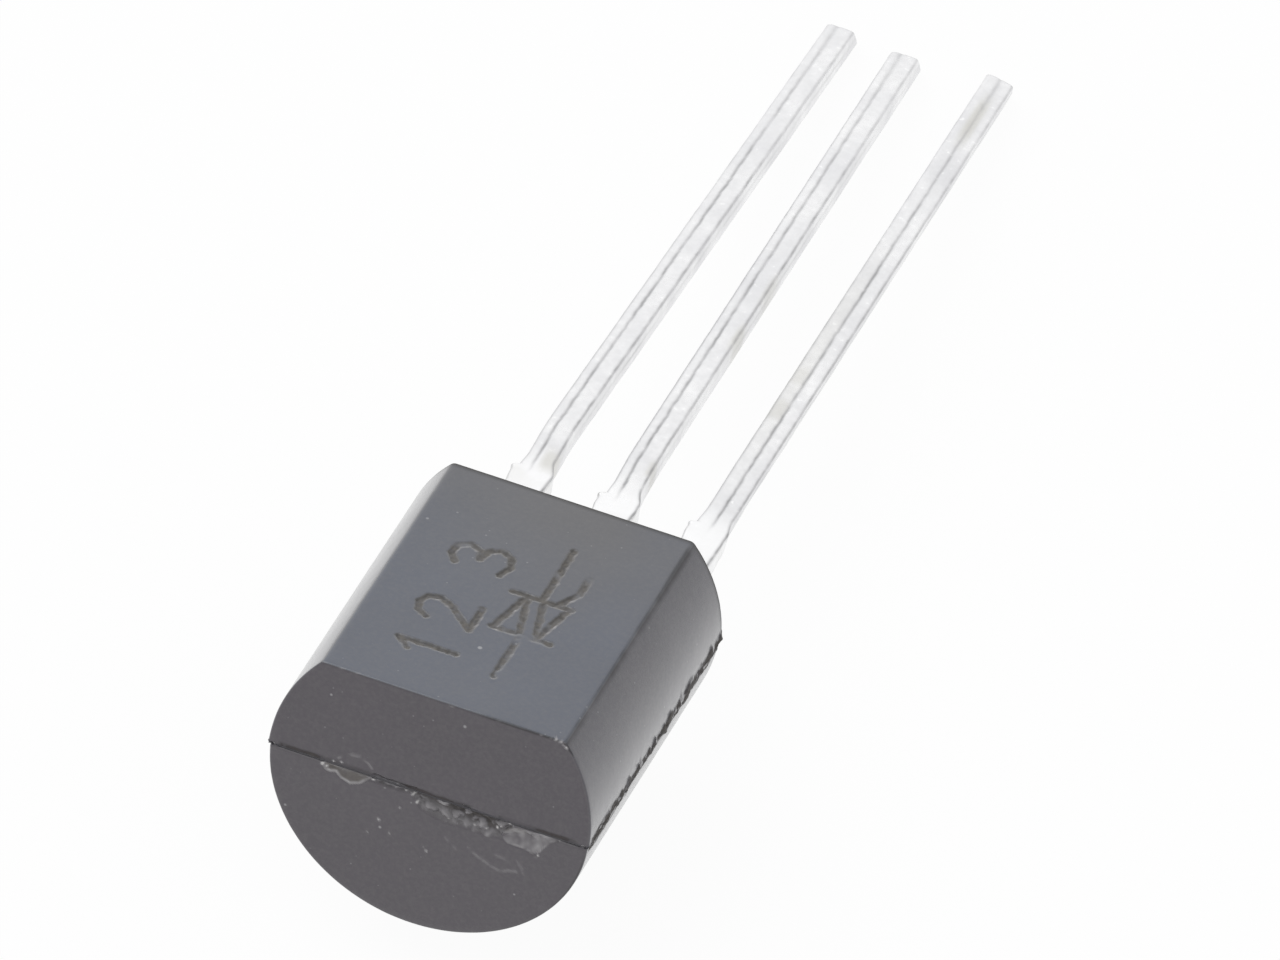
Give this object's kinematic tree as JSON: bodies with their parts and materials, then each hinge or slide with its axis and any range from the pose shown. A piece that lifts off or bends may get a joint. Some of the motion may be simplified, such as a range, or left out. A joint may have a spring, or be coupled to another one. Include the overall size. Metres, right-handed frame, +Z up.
{
  "type": "triac",
  "caption": "Small leaded triac: a D-shaped black moulding with a flat front, sealed over a die and bond wires on a lead frame, with flat tinned leads in a row.",
  "frame": {"origin": "on the surface that the device lies on, under the middle of its overall length and width", "axes": "+Y towards the lead tips, +Z up, +X across the row of leads towards the first main terminal's lead; the device lies on its round back, leaning about 8.5 degrees onto its lead tips"},
  "size_m": [0.0044, 0.018, 0.0043],
  "materials": {
    "moulding": "matte black moulding compound with a faint satin sheen",
    "tinned_lead": "bright tin plating, drawn lengthwise",
    "solder": "dull solder",
    "silicon": "smooth silicon with bare contacts",
    "bond_wire": "soft drawn wire"
  },
  "bodies": {
    "root": {"moulded_body": "moulding", "main_terminal_2_lead": "tinned_lead", "gate_lead": "tinned_lead", "main_terminal_1_lead": "tinned_lead", "die_attach_solder": "solder", "triac_die": "silicon", "gate_bond_wire": "bond_wire", "main_bond_wire_1": "bond_wire", "main_bond_wire_2": "bond_wire"}
  },
  "joints": []
}
